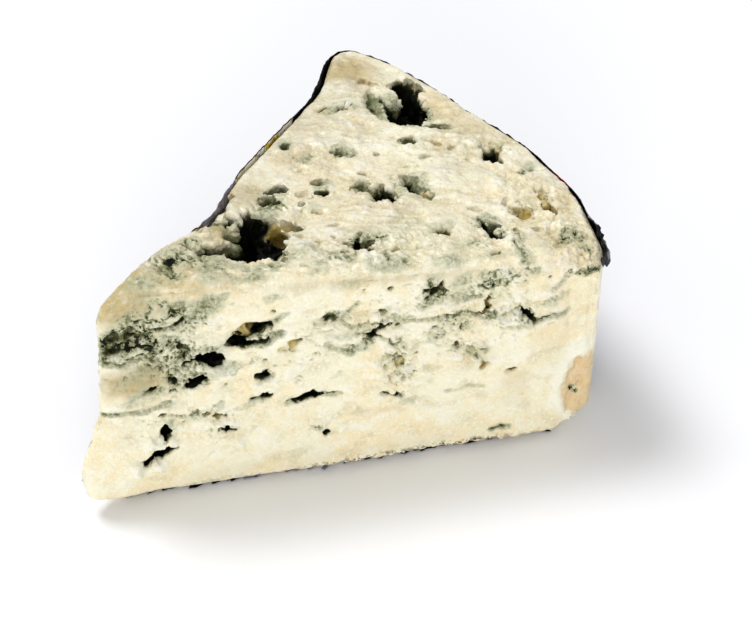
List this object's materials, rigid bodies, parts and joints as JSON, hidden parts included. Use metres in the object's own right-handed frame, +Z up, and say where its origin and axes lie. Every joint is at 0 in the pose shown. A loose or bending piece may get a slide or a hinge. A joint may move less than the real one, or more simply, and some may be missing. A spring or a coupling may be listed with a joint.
{
  "type": "blue cheese wedge",
  "caption": "Wedge of blue-veined cow's milk cheese with pitted curd and a rounded rind foot, sitting in the remains of its foil wrapper.",
  "frame": {"origin": "under the middle of the bounding box, on the surface that the wedge stands on", "axes": "+X from the wedge's tip to its rind along the main cut, +Y from the main cut towards the second cut, +Z up"},
  "size_m": [0.1038, 0.0782, 0.0521],
  "materials": {
    "curd": null,
    "foil": "dark printed foil, crinkled and satin, bare silver inside"
  },
  "bodies": {
    "root": {"cheese": "curd", "foil": "foil"}
  },
  "joints": []
}
